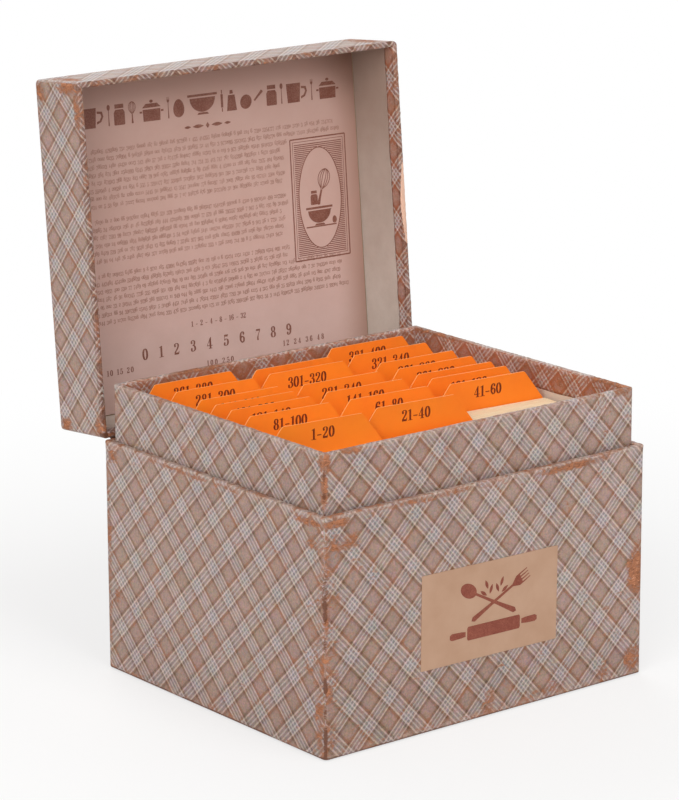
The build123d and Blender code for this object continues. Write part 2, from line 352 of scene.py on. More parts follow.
def plain_paper(name, colour, worn, dirt, rough=0.7, painted_light_ramps=()):
    """Uncoated paper: fibres, faint blotches and a little dirt.

    Each row of the last argument is a colour, a direction and two distances along it, in metres: the
    paper turns to that colour between them; these ramps are mostly painted light and shade."""
    g = Graph(name)
    place = g.place()
    blotch = g.noise(place, 18.0, 5.0, 0.6)
    fibre = g.noise(place, 0.3, 4.0, 0.7)
    speck = g.noise(place, 0.9, 3.0, 0.8)
    for shade, direction, start, end in painted_light_ramps:
        along = g.vector("DOT_PRODUCT", place, direction)
        colour = g.mix(g.span(along, start, end, smooth=True), colour, shade)
    base = g.mix(g.span(blotch, 0.35, 0.75, 0.0, dirt), colour, worn)
    base = g.mix(g.span(fibre, 0.3, 0.8, 0.0, 0.16), base, worn)
    base = g.mix(g.span(speck, 0.70, 0.78, 0.0, 0.35), base, worn, darker=0.55)
    normal = g.bump(fibre, 0.00004, 0.6, g.bump(g.noise(place, 13.0, 2.0), 0.0003, 0.4))
    return g.shader(base, g.span(blotch, 0.3, 0.7, rough - 0.07, rough + 0.07), normal)


def chipboard():
    """Grey-brown board of pressed waste paper, with flecks and fibres."""
    g = Graph("chipboard")
    place = g.place()
    fleck = g.noise(place, 1.2, 5.0, 0.8)
    fibre = g.node("ShaderNodeTexNoise", {"Vector": g.vector("MULTIPLY", place, (1.0, 3.0, 6.0)),
                   "Scale": 1800.0, "Detail": 4.0})
    colour = g.mix(g.span(fibre, 0.3, 0.7), (142, 122, 98), (172, 152, 124))
    colour = g.mix(g.span(fleck, 0.64, 0.72, 0.0, 0.6), colour, (92, 78, 66))
    return g.shader(colour, 0.9, g.bump(fibre, 0.0001, 0.7), specular=0.2)


def guide_stock():
    """Orange index card, with paler cut edges and a thumbed darker band along its tabs."""
    g = Graph("guide_stock")
    coords = g.node("ShaderNodeTexCoord", out=None)
    place, facing = coords["Object"], g.split(coords["Normal"])
    fibre = g.noise(place, 0.35, 4.0, 0.7)
    blotch = g.noise(place, 22.0, 4.0, 0.6)
    row = g.noise(g.vector("MULTIPLY", place, (0.0, 1.0, 0.0)), 5.0, 1.0)
    thumbed = g.times(g.span(g.split(place)[2], 0.112, 0.1225),
                      g.span(g.noise(place, 7.0, 4.0, 0.6), 0.45, 0.75))
    cut = g.math("GREATER_THAN", facing[2], 0.4)
    colour = (255, 142, 32)
    for amount, shown in ((g.span(blotch, 0.35, 0.7), (255, 134, 26)),
                          (g.span(fibre, 0.35, 0.8, 0.0, 0.25), (250, 118, 20)),
                          (g.span(row, 0.35, 0.65, 0.0, 0.3), (250, 122, 34)),
                          (g.times(thumbed, 0.25), (226, 108, 36)),
                          (g.times(cut, 0.55), (255, 190, 126))):
        colour = g.mix(amount, colour, shown)
    normal = g.bump(fibre, 0.00003, 0.6, g.bump(g.noise(place, 30.0, 2.0), 0.0006, 0.5))
    return g.shader(colour, g.span(blotch, 0.3, 0.7, 0.50, 0.62), normal, specular=0.4)


def card_stock():
    """Cream recipe card with faint ruled lines on its faces and a slightly toasted cut edge."""
    g = Graph("card_stock")
    coords = g.node("ShaderNodeTexCoord", out=None)
    place, facing = coords["Object"], g.split(coords["Normal"])
    fibre = g.noise(place, 0.4, 4.0, 0.7)
    tone = g.noise(g.vector("MULTIPLY", place, (0.02, 1.0, 0.0)), 0.8, 2.0, 0.8)
    base = g.mix(g.span(fibre, 0.3, 0.7), (247, 232, 206), (238, 218, 186))
    edge = g.mix(g.span(tone, 0.3, 0.7), (250, 234, 204), (224, 196, 152))
    cut = g.math("GREATER_THAN", g.math("ABSOLUTE", facing[2]), 0.5)
    rule_pitch, first_rule, last_rule = 0.00635, 0.016, 0.096
    down = g.math("SUBTRACT", (cards_z + card_height) * MM, g.split(place)[2])
    rule = g.math("PINGPONG", g.math("DIVIDE", down, rule_pitch), 0.5)
    line = g.times(g.span(rule, 0.012, 0.024, 1.0, 0.0), g.math("GREATER_THAN", down, first_rule))
    line = g.times(line, g.math("LESS_THAN", down, last_rule))
    base = g.mix(g.times(line, 0.6), base, (170, 110, 84))
    return g.shader(g.mix(cut, base, edge), 0.68, g.bump(fibre, 0.00003, 0.5), specular=0.3)


def printing_ink(name, colour, faded, cover=0.9):
    """Ink laid on paper, thinner in places."""
    g = Graph(name)
    place = g.place()
    thin = g.noise(place, 0.5, 4.0, 0.75)
    uneven = g.plus(g.times(thin, 0.7), g.times(g.noise(place, 6.0, 3.0, 0.6), 0.3))
    colour = g.mix(g.span(uneven, 0.42, 0.68, 0.0, cover), colour, faded)
    return g.shader(colour, 0.55, g.bump(thin, 0.00002, 0.4))


plaid = plaid_paper()
neck_inside = plain_paper("neck_lining_paper", (214, 200, 184), (183, 162, 140), 0.35)
# The lid's lining is painted lighter lower down and darker higher up, a painted shade from the lid's upper
# wall
lid_inside = plain_paper("lid_lining_paper", (159, 138, 125), (142, 118, 104), 0.35,
                         painted_light_ramps=[((203, 192, 181), (0, 0, 1), 0.236, 0.130)])
under_sheet = plain_paper("bottom_sheet_paper", (150, 132, 118), (112, 94, 80), 0.5)
# The sheet: painted light makes it lighter lower down, and a painted shadow darkens it under the lid's upper
# wall; the last two rows make it darker towards the right edge and towards the top right corner
sheet_paper = plain_paper("lid_sheet_paper", (196, 163, 152), (182, 146, 132), 0.3,
                          painted_light_ramps=[((211, 179, 170), (0, 0, 1), 0.200, 0.110),
                                  ((168, 136, 124), (0, 0, 1), 0.222, 0.246),
                                  ((166, 132, 118), (1, 0, 0), 0.064, 0.084),
                                  ((122, 90, 74), (1, 0, 1), 0.280, 0.324)])
label_paper = plain_paper("label_paper", (183, 148, 123), (160, 121, 94), 0.45)
# Brown hinge tape, painted darker with the shade that lies on the hinge end
hinge_paper = plain_paper("hinge_paper", (84, 50, 35), (52, 32, 24), 0.6, rough=0.75)
board = chipboard()
orange = guide_stock()
cream = card_stock()
brown_ink = printing_ink("brown_ink", (118, 52, 37), (152, 88, 66))
sheet_ink = printing_ink("sheet_ink", (116, 66, 52), (154, 110, 94))
small_ink = printing_ink("sheet_small_ink", (150, 109, 95), (188, 154, 141))
digit_ink = printing_ink("digit_ink", (108, 34, 12), (142, 60, 20), 0.5)


# ---- plaid paper round the trays

# Where the plaid lies on each face: pitches and phases of its two families of bands, in
# millimetres from the face's middle, u to the right seen from outside and v down
plaid_table = {
    "base_front": ((20.30, 19.86, -0.059), (20.10, 21.45, 0.065)),
    "base_left": ((21.30, 20.47, 0.449), (21.11, 21.46, -0.372)),
    "neck_front": ((20.73, 20.90, -0.311), (19.66, 20.90, 0.049)),
    "neck_left": ((20.17, 20.90, 0.009), (21.68, 20.90, 0.432)),
    "lid_left": ((20.69, 21.28, -0.374), (19.74, 20.50, 0.403)),
    "neck_right_in": ((19.68, 20.90, 0.228), (20.53, 20.90, 0.107)),
    "neck_back_in": ((19.29, 20.90, -0.431), (21.58, 20.90, -0.159)),
}
pitch = 20.8
FRONT, RIGHT, BACK, LEFT = range(4)
RimPoint = namedtuple("RimPoint", "x y nx ny centre side u")


def lattice(face, u, v):
    """Phases of the two families of bands at a place on a measured face."""
    (ua, va, pa), (ub, vb, pb) = plaid_table[face]
    return u / ua + v / va - pa, u / ub - v / vb - pb


def wall_phases(tray, width, depth, side, u, v):
    """Phases on the outside of a wall; those on the right and the back carry on from the front."""
    if side in (FRONT, LEFT):
        return lattice(tray + ("_front" if side == FRONT else "_left"), u, v)
    a, b = lattice(tray + "_front", width / 2, v)
    past = u + depth / 2 if side == RIGHT else u + depth + width / 2
    return a + past / pitch, b + past / pitch


def half_length(side, width, depth):
    return (width if side in (FRONT, BACK) else depth) / 2


def rim_path(width, depth, radius, step, corner_steps=5):
    """Points round a rounded rectangle, anticlockwise from the front's left end.

    Each has its normal, its corner's centre or None, its side, and u, the distance along the side
    from the side's middle."""
    w, d = width / 2, depth / 2
    points = []
    for side in range(4):
        angle = math.radians(90 * side - 90)
        nx, ny = round(math.cos(angle)), round(math.sin(angle))
        reach, half = (w, d - radius) if side % 2 else (d, w - radius)
        count = max(2, round(2 * half / step))
        for k in range(count + 1):
            u = -half + 2 * half * k / count
            points.append(RimPoint(nx * reach - ny * u, ny * reach + nx * u, nx, ny, None, side, u))
        cx = (w - radius) * (1 if side in (FRONT, RIGHT) else -1)
        cy = (d - radius) * (1 if side in (RIGHT, BACK) else -1)
        for k in range(1, corner_steps):
            turn = angle + math.pi / 2 * k / corner_steps
            c, s = math.cos(turn), math.sin(turn)
            share, to, sign = k / corner_steps, side, 1
            if k >= corner_steps / 2:
                share, to, sign = 1 - share, (side + 1) % 4, -1
            u = sign * (half_length(to, width, depth) - radius + radius * math.pi / 2 * share)
            points.append(RimPoint(cx + radius * c, cy + radius * s, c, s, (cx, cy), to, u))
    return points


def rim_point(point, inset, width, depth, radius):
    """Where a point of the path goes when it is moved inwards."""
    if point.centre is not None and inset < radius:
        return point.centre[0] + (radius - inset) * point.nx, point.centre[1] + (radius - inset) * point.ny
    x, y = point.x - inset * point.nx, point.y - inset * point.ny
    if inset >= radius:
        w, d = width / 2 - inset, depth / 2 - inset
        if point.centre is not None:
            x, y = math.copysign(w, point.centre[0]), math.copysign(d, point.centre[1])
        x, y = min(max(x, -w), w), min(max(y, -d), d)
    return x, y


def steps(start, end, step):
    """Evenly spaced numbers from start to end, without the end."""
    count = max(1, round(abs(end - start) / step))
    return [start + (end - start) * k / count for k in range(count)]


def wrap_shell(name, size, profile, phases, wear, shape, split_and_shadow, place, step, capped=False):
    """A paper shell swept round a rounded rectangle.

    profile has rows of inset, height, zone and way along the paper. The next four give a point's
    lattice phases, its wear, its small shift and how far the paper is split there, painted shadow
    included; place moves a point from the shell's own frame to the row's."""
    width, depth, radius = size
    path = rim_path(width, depth, radius, step)
    grid = bmesh.new()
    wear_layer = grid.verts.layers.float.new("wear")
    rim_highlight_and_tear_layer = grid.verts.layers.float.new("rim_highlight_and_tear")
    uv_layer = grid.loops.layers.uv.new("Plaid")
    over = [row[3] for row in profile if row[2] == "rim"]
    rows, places = [], []
    for inset, height, zone, t in profile:
        row = []
        places.append([rim_point(point, inset, width, depth, radius) for point in path])
        for point, (x, y) in zip(path, places[-1]):
            dx, dy, dz = shape(x, y, height, point, zone, inset)
            v = grid.verts.new(Vector(place(x + dx, y + dy, height + dz)) * MM)
            v[wear_layer] = wear(x, y, height, point, zone, inset)
            # Nearness to the rim, where a highlight is painted; split paper and the painted shadow along the
            # foot take it down, paler scuffs take it up
            v[rim_highlight_and_tear_layer] = fade(max(t - max(over), min(over) - t), 0.9)
            v[rim_highlight_and_tear_layer] -= 2.0 * split_and_shadow(x, y, height)
            row.append(v)
        rows.append(row)
    for j in range(len(rows) - 1):
        t0, t1, zone = profile[j][3], profile[j + 1][3], profile[j + 1][2]
        for k, a in enumerate(path):
            n = (k + 1) % len(path)
            b = path[n]
            face = grid.faces.new((rows[j][k], rows[j][n], rows[j + 1][n], rows[j + 1][k]))
            face.smooth = True
            side = a.side if a.side == b.side or a.centre is None else b.side
            ua = a.u if a.side == side else -a.u
            ub = b.u if b.side == side else -b.u
            spots = (places[j][k], places[j][n], places[j + 1][n], places[j + 1][k])
            for loop, u, t, spot in zip(face.loops, (ua, ub, ub, ua), (t0, t0, t1, t1), spots):
                loop[uv_layer].uv = phases(side, u, t, zone, spot)
    if capped:
        ring = {}
        for v in rows[-1]:
            ring.setdefault(tuple(round(c, 6) for c in v.co), v)
        for loop in grid.faces.new(list(ring.values())).loops:
            loop[uv_layer].uv = (0.5, 0.5)
    bmesh.ops.remove_doubles(grid, verts=grid.verts, dist=1e-7)
    mesh = bpy.data.meshes.new(name)
    grid.to_mesh(mesh)
    grid.free()
    mesh.materials.append(plaid)
    obj = add_object(name, mesh)
    thick = obj.modifiers.new("paper", "SOLIDIFY")
    thick.thickness = paper * MM
    thick.offset = -1.0
    return obj


def rounded_top(wall, top, edge, turns=6):
    """Profile points over a rim: (inset, height, how far along the paper from the outer face's top)."""
    angles = [math.pi / 2 * k / turns for k in range(1, turns + 1)]
    flat = wall - 2 * edge
    points = [(edge * (1 - math.cos(a)), top - edge * (1 - math.sin(a)), edge * a) for a in angles]
    points += [(edge + x, top, edge * math.pi / 2 + x) for x in steps(0.0, flat, 0.6)[1:] + [flat]]
    points += [(wall - edge * (1 - math.sin(a)), top - edge * (1 - math.cos(a)),
                edge * math.pi / 2 + flat + edge * a) for a in angles]
    return points


def wall_profile(outer, top, wall, edge, inner):
    """Profile rows up a wall's outside, over its rim and down its inside, through given heights."""
    rows = [(0.0, z, "out", top - z) for z in outer] + [(0.0, top - edge, "out", edge)]
    rows += [(inset, z, "rim", edge - along) for inset, z, along in rounded_top(wall, top, edge)]
    past = rows[-1][3]
    return rows + [(wall, z, "in", past - (top - edge - z)) for z in inner]


def crumple(point, height, size, seed):
    """Sharp-crested noise from -1 to 1, for paper bunched over a rim."""
    along = point.u + 200.0 * point.side
    n = noise.noise(Vector((along / size, height / (size * 1.6), seed * 9.7)))
    return 1.0 - 2.0 * min(1.0, abs(n) * 2.4)


def patch(u, v, spots):
    """How worn a place is by listed spots: (u, v, half width, half height, strength)."""
    best = 0.0
    for cu, cv, ru, rv, strength in spots:
        best = max(best, strength * limit(1.6 - math.hypot((u - cu) / ru, (v - cv) / rv)))
    return best


def corner_wear(point, width, depth, height, strengths, seed):
    """Wear by an upright edge: strengths are for the corners before each side's left end."""
    side, u = point.side, point.u
    strength = strengths[side] if u < 0 else strengths[(side + 1) % 4]
    strength *= 0.82 + 0.5 * wobble(side + (u > 0), height, 0, 13.0, seed)
    return strength * fade(half_length(side, width, depth) - abs(u), 0.9)


def split_corner(x, y, z, half_width, half_depth, strength, seed, width):
    """How far the paper has split along an upright corner, down to its dark core."""
    furthest = 6.0
    apart = max(half_width - abs(x), half_depth - abs(y)) - 0.5
    if apart > furthest:
        return 0.0
    along = 0.55 + 0.9 * wobble(x > 0, y > 0, z, 7.0, seed) + 0.5 * wobble(0, 0, z, 2.6, seed + 1)
    return strength * fade(apart, width) * limit(along)


# Tray
base_spots = {
    FRONT: [(-81, 0, 4, 46, 0.30), (-78, -46.2, 8, 1.6, 0.80), (-82, -34, 2.4, 7, 0.5),
            (-82, 22, 2.0, 4, 0.7), (-83, -8, 1.2, 6, 0.6), (-82, 40, 3, 6, 0.5), (-79, 4, 1.6, 2, 0.6),
            (44, -47.5, 17, 1.5, 0.75), (80.6, 4, 4.4, 8.5, 1.0), (78, 42, 5, 5, 0.7), (30, 45, 8, 2.0, 0.5),
            (0, 43, 3, 6, 0.5), (62, 45, 3, 2.5, 0.65), (-30, -48, 22, 1.2, 0.55), (-72, -38, 5, 1.8, 0.80),
            (-79.5, -38, 3, 2.4, 0.70)],
    LEFT: [(70.5, 0, 4, 46, 0.30), (64, -46.2, 8, 1.5, 0.75), (71.8, 12, 1.2, 5, 0.7), (70, 41, 2.4, 6, 0.65),
           (64, 14, 3, 2, 0.6), (-68, -44, 3, 2, 0.75), (-66, 16, 2.5, 3, 0.6), (-71, 0, 1.5, 40, 0.5),
           (66, -38, 4, 1.8, 0.80), (70, 30, 2.5, 4, 0.7), (-10, -47.8, 30, 1.0, 0.5)],
    RIGHT: [(-68, -40, 5, 4, 0.7), (60, 44, 6, 3, 0.7), (-71, 4, 2.5, 9, 0.9), (20, -47.5, 20, 1.2, 0.6)],
    BACK: [(78, 40, 5, 5, 0.7), (-78, -42, 4, 4, 0.6), (20, 46, 14, 2, 0.5)],
}


def base_phases(side, u, t, zone, spot):
    return wall_phases("base", base_width, base_depth, side, u, t - base_height / 2)


def base_worn(x, y, z, point, zone, inset):
    if zone == "under":
        return max(0.7 * fade(inset, 2.0), 0.15)
    corner = corner_wear(point, base_width, base_depth, z, (0.34, 0.42, 0.42, 0.38), 31)
    rim = (0.30 + 0.36 * wobble(x, y, 0, 12.0, 32)) * fade(base_height - z, 1.5)
    foot = (0.48 + 0.35 * wobble(x, y, 0, 14.0, 33)) * fade(z - paper, 1.3)
    spots = patch(point.u, base_height / 2 - z, base_spots[point.side])
    return max(corner, rim, foot, spots) + 0.12 * wobble(x, y, z, 9.0, 3)


def base_shape(x, y, z, point, zone, inset):
    if zone == "under":
        return 0.0, 0.0, 0.0
    half = half_length(point.side, base_width, base_depth)
    rim = fade(base_height - z, 2.6)
    out = rim * max(0.0, 0.10 + 0.12 * wobble(x, y, z, 4.0, 1) + 0.10 * crumple(point, z, 2.6, 2))
    out += 0.10 * hill((base_height - z - 1.0, 0.9))
    bow = 0.22 * wobble(x, y, z, 60.0, 4) * limit((half - abs(point.u)) / 12.0)
    out -= abs(bow * (limit(z / 12.0) * limit((base_height - z) / 12.0))) * 0.8
    if zone == "in":
        out = 0.0
    lift = rim * limit(0.04 + 0.08 * wobble(x, y, 0, 6.0, 5) + 0.05 * crumple(point, 0, 3.4, 3), 0.14)
    return point.nx * out, point.ny * out, lift


def base_torn(x, y, z):
    """Split paper on the corners and a painted shadow line along the foot; less than nothing, so paler, just
    above the foot.
    """
    upper, strength = 0.0, 0.2
    if x < 0 and y < 0:
        upper = hill((z - 76, 13))
        strength = 0.62 + 0.16 * (z < 34) + 0.06 * (z > 88) - 0.22 * upper
    low = 1.35 if x < -83 else 1.0
    foot = 0.75 * hill((z - low - 0.8, 0.8)) * (0.6 + 0.6 * wobble(x, y, 0, 5.0, 41))
    # Painted shadow: a dark line along the very foot, taller on the left face
    foot -= 0.7 * math.exp(-(z / low) ** 4) * (0.8 + 0.6 * wobble(x, y, 0, 9.0, 46))
    return split_corner(x, y, z, base_width / 2, base_depth / 2, strength, 42, 0.75 + 1.5 * upper) - foot


base_profile = [(inset, paper, "under", base_height + inset) for inset in steps(base_turn_under, 0.9, 2.0)]
base_profile += [(0.5, paper + 0.02, "out", base_height - 0.1),
                 (0.15, paper + 0.15, "out", base_height - 0.15),
                 (0.0, paper + 0.5, "out", base_height - 0.5)]
base_profile += wall_profile(
    steps(paper + 1.2, base_height - 7.0, 2.8) + steps(base_height - 7.0, base_height - base_rim, 0.8),
    base_height, base_wall, base_rim,
    steps(base_height - base_rim - 1.5, base_height - base_turn_in, 3.0) + [base_height - base_turn_in])
tray_paper = wrap_shell("tray_paper", (base_width, base_depth, base_corner), base_profile, base_phases,
                        base_worn, base_shape, base_torn, lambda x, y, z: (x, y, z), step=0.85)
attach(tray_paper, "box")
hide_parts("base_wrap")

# Neck
neck_spots = {
    FRONT: [(-79.6, -8, 1.9, 3.4, 0.85), (-80.4, 2, 1.3, 6, 0.7), (-68, -11.2, 5, 1.3, 0.7),
            (74, -11, 5, 1.5, 0.6)],
    LEFT: [(68.2, -8, 1.7, 2.6, 0.75), (69, 4, 1.2, 6, 0.55), (-68, -8, 3, 3, 0.4)],
    RIGHT: [(-60, -11, 12, 2, 0.8), (50, -11.5, 18, 1.2, 0.7)],
    BACK: [(40, -11, 14, 2, 0.7)],
}
neck_middle, neck_in_middle = 111.0, 117.5
neck_profile = wall_profile(
    steps(neck_low, neck_top - 5.0, 1.7) + steps(neck_top - 5.0, neck_top - neck_rim, 0.7),
    neck_top, neck_wall, neck_rim,
    steps(neck_top - neck_rim - 0.8, neck_top - neck_turn_in, 1.2) + [neck_top - neck_turn_in])
neck_past = min(t for inset, z, zone, t in neck_profile if zone == "rim")


def neck_phases(side, u, t, zone, spot):
    """t is the distance down from the rim on the outside, and less than nothing past it."""
    if zone == "in" and side in (RIGHT, BACK):
        v = neck_in_middle - (neck_top - neck_rim - (neck_past - t))
        return lattice("neck_right_in", u, v) if side == RIGHT else lattice("neck_back_in", -u, v)
    return wall_phases("neck", neck_width, neck_depth, side, u, t - (neck_top - neck_middle))


def neck_torn(x, y, z):
    strength, width = (0.58, 1.3) if x < 0 and y < 0 else (0.16, 0.9)
    return split_corner(x, y, z, neck_width / 2, neck_depth / 2, strength, 44, width)


def neck_worn(x, y, z, point, zone, inset):
    mix = 0.12 * wobble(x, y, z, 8.0, 6)
    if zone == "in":
        return max(0.5 * fade(neck_top - z, 0.9), 0.32) + mix
    corner = corner_wear(point, neck_width, neck_depth, z, (0.40, 0.42, 0.42, 0.36), 34)
    rim = (0.16 + 0.36 * wobble(x, y, 0, 10.0, 35)) * fade(neck_top - z, 1.1)
    return max(corner, rim, patch(point.u, neck_middle - z, neck_spots[point.side])) + mix


def neck_shape(x, y, z, point, zone, inset):
    rim = fade(neck_top - z, 2.4)
    if zone == "in":
        out = -0.1 * abs(wobble(x, y, z, 6.0, 9)) * (1.0 - fade(neck_top - z, 3.0))
        lift = 0.9 * wobble(x, y, 0, 9.0, 10) * min(1.0, (neck_top - z) / neck_turn_in) ** 4
    else:
        out = rim * limit(0.08 + 0.10 * wobble(x, y, z, 4.0, 7) + 0.08 * crumple(point, z, 2.4, 8), 0.25)
        lift = rim * max(0.0, 0.06 + 0.12 * wobble(x, y, 0, 6.0, 11) + 0.08 * crumple(point, 0, 3.2, 4))
    return point.nx * out, point.ny * out, lift


neck_paper = wrap_shell("neck_paper", (neck_width, neck_depth, neck_corner), neck_profile, neck_phases,
                        neck_worn, neck_shape, neck_torn, lambda x, y, z: (x, y + neck_centre, z), step=0.75)
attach(neck_paper, "box")
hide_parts("neck_wrap")

# Lid, built closed with its rim down, then turned to where it stands
lid_spots = {
    LEFT: [(-71, 11, 3, 4, 0.7), (69, 12, 4, 3.5, 0.75), (-69, -13, 4, 2.5, 0.75), (62, -13.5, 8, 2, 0.75),
           (72, -8, 3, 6, 0.9)],
    FRONT: [(-78, 0, 4, 10, 0.7), (78, 0, 4, 10, 0.7)],
    RIGHT: [(66, 0, 5, 8, 0.7)],
    BACK: [(-76, 0, 5, 8, 0.6), (76, 0, 5, 8, 0.6)],
}


def lid_phases(side, u, t, zone, spot):
    """t is the height above the lid's rim on the outside, and less than nothing past the rim."""
    if zone == "top":
        side, u, t = FRONT, spot[0], lid_height + spot[1] + lid_depth / 2
    v = t - lid_height / 2
    if side == LEFT:
        return lattice("lid_left", v, -u)
    way = 1 if side == BACK else -1
    a, b = lattice("lid_left", v, way * lid_depth / 2)
    past = u + base_width + lid_depth / 2 if side == RIGHT else u + base_width / 2
    return a + way * past / pitch, b - way * past / pitch


def lid_torn(x, y, z):
    """Dark split corners and a nick on the rim; less than nothing on the smooth scuff at its right."""
    up = z - lid_low
    corner = hill((x + 83, 3.2), (y - lid_depth / 2 + 1.2, 2.6), (up, 2.2))
    nick = hill((x + 83, 2.0), (y - lid_depth / 2 + 19, 1.3), (up, 1.6))
    upper = 0.45 * hill((x - 81.2, 1.6), (y + lid_depth / 2 - 4.0, 2.6), (up, 1.6))
    along = (y + 3.0) / 18.0
    scuff = 1.0 if abs(along) < 1 and x > 81.5 + 1.4 * along**2 and z < lid_low + 1.9 else 0.0
    return max(corner, nick, upper) - scuff


def lid_worn(x, y, z, point, zone, inset):
    mix = 0.12 * wobble(x, y, z, 8.0, 12)
    if zone == "in":
        return max(0.30 * fade(z - lid_low, 0.8), 0.15) + mix
    if zone == "top":
        return max(0.45 * fade(inset, 1.2), 0.1) + mix
    corner = corner_wear(point, base_width, lid_depth, z, (0.62, 0.6, 0.55, 0.55), 36)
    rim = (0.22 + 0.42 * wobble(x, y, 0, 9.0, 37)) * fade(z - lid_low, 1.1)
    edge = (0.36 + 0.34 * wobble(x, y, 0, 13.0, 38)) * fade(lid_high - z, 1.2)
    spots = patch(point.u, z - lid_low - lid_height / 2, lid_spots[point.side])
    return max(corner, rim, edge, spots) + mix


def lid_shape(x, y, z, point, zone, inset):
    if zone == "in":
        return 0.0, 0.0, 0.6 * wobble(x, y, 0, 8.0, 13) * min(1.0, (z - lid_low) / lid_turn_in) ** 4
    if zone == "top":
        return 0.0, 0.0, -0.25 * abs(wobble(x, y, 0, 45.0, 14)) * min(1.0, inset / 20.0)
    rim = fade(z - lid_low, 2.4)
    out = rim * max(0.0, 0.10 + 0.12 * wobble(x, y, z, 4.0, 15) + 0.10 * crumple(point, z, 2.5, 16))
    lift = -rim * limit(0.04 + 0.08 * wobble(x, y, 0, 6.0, 17) + 0.05 * crumple(point, 0, 3.3, 5), 0.14)
    return point.nx * out, point.ny * out, lift


lid_over = rounded_top(lid_wall, 0.0, lid_rim)[::-1]
lid_past = lid_rim - lid_over[0][2]
lid_profile = [(lid_wall, z, "in", lid_past - (z - lid_low - lid_rim)) for z in
               [lid_low + lid_turn_in] + steps(lid_low + lid_turn_in - 0.8, lid_low + lid_rim, 1.0)]
lid_profile += [(inset, lid_low - z, "rim", lid_rim - along) for inset, z, along in lid_over]
lid_profile += [(0.0, lid_low + lid_rim, "out", lid_rim)]
lid_profile += [(0.0, z, "out", z - lid_low) for z in
                steps(lid_low + 1.8, lid_low + 5.0, 0.8) + steps(lid_low + 5.0, lid_high - 1.2, 2.0)]
for angle in (math.pi / 2 * k / 3 for k in range(4)):
    lid_profile.append((0.5 * (1 - math.cos(angle)), lid_high - 0.5 * (1 - math.sin(angle)), "out",
                        lid_height - 0.5 + 0.5 * math.sin(angle)))
lid_profile += [(inset, lid_high, "top", lid_height + inset) for inset in steps(2.5, base_width / 2, 6.0)
                if inset < lid_depth / 2 - 0.5]
lid_paper = wrap_shell("lid_paper", (base_width, lid_depth, lid_corner), lid_profile, lid_phases,
                       lid_worn, lid_shape, lid_torn, lambda x, y, z: lid_to_row(x, y + lid_centre, z),
                       step=0.85, capped=True)
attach(lid_paper, "lid")
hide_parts("lid_wrap")


# ---- drawing in flat strokes

class Drawing:
    """Flat shapes in one plane, in millimetres, gathered into one mesh."""

    def __init__(self):
        self.verts, self.faces, self.layers, self.shapes = [], [], [], 0

    def layer(self, count):
        """Shapes take turns on eight close levels, so that those that cross don't share a plane."""
        self.layers += [self.shapes % 8] * count
        self.shapes += 1

    def polygon(self, points):
        first = len(self.verts)
        self.layer(len(points))
        self.verts += points
        self.faces.append(list(range(first, first + len(points))))

    def stroke(self, points, width):
        """A ribbon along points; width is a number, or a function of the direction."""
        p = np.array(points, float)
        step = np.gradient(p, axis=0)
        length = np.hypot(step[:, 0], step[:, 1])
        length[length == 0] = 1
        first = len(self.verts)
        self.layer(2 * len(p))
        for (x, y), (tx, ty) in zip(p, step / length[:, None]):
            w = width(tx, ty) / 2 if callable(width) else width / 2
            self.verts += [(x - ty * w, y + tx * w), (x + ty * w, y - tx * w)]
        self.faces += [[a, a + 1, a + 3, a + 2] for a in range(first, first + 2 * len(p) - 2, 2)]

    def add(self, other, matrix=(1, 0, 0, 1), shift=(0, 0)):
        """Adds another drawing, turned or scaled by a 2 by 2 matrix and shifted."""
        a, b, c, d = matrix
        first = len(self.verts)
        self.verts += [(a * x + b * y + shift[0], c * x + d * y + shift[1]) for x, y in other.verts]
        self.layers += other.layers
        self.faces += [[first + k for k in face] for face in other.faces]


coarse = 1  # curves are drawn with this many times fewer points


def smooth_line(points, count=10):
    """A Catmull-Rom line through points."""
    count = max(2, count // coarse)
    p = [np.array(q, float) for q in points]
    p = [2 * p[0] - p[1]] + p + [2 * p[-1] - p[-2]]
    out = []
    for k in range(1, len(p) - 2):
        for t in (j / count for j in range(count)):
            out.append(0.5 * (2 * p[k] + (p[k + 1] - p[k - 1]) * t
                              + (2 * p[k - 1] - 5 * p[k] + 4 * p[k + 1] - p[k + 2]) * t**2
                              + (3 * p[k] - p[k - 1] - 3 * p[k + 1] + p[k + 2]) * t**3))
    return [tuple(q) for q in out + [p[-2]]]


def arc(x, y, rx, ry, start, end, count=24):
    count = max(8, count // coarse)
    angles = [math.radians(start + (end - start) * k / count) for k in range(count + 1)]
    return [(x + rx * math.cos(a), y + ry * math.sin(a)) for a in angles]


def oval(x, y, rx, ry, count=20):
    angles = [2 * math.pi * k / count for k in range(count)]
    return [(x + rx * math.cos(a), y + ry * math.sin(a)) for a in angles]


def mirrored(half):
    """An outline closed by its own mirror image across the x axis."""
    return half + [(x, -y) for x, y in half[::-1]]


def block(x0, y0, x1, y1):
    return [(x0, y0), (x1, y0), (x1, y1), (x0, y1)]


def taper(low_half, low, high_half, high):
    """A block about the y axis, as wide at its foot and its top as asked."""
    return [(-low_half, low), (low_half, low), (high_half, high), (-high_half, high)]


def contrast(thick):
    """Width of a pen stroke that is thick where it runs up or down and thin where it runs across."""
    return lambda tx, ty: 0.05 + (thick - 0.05) * abs(ty) ** 1.6


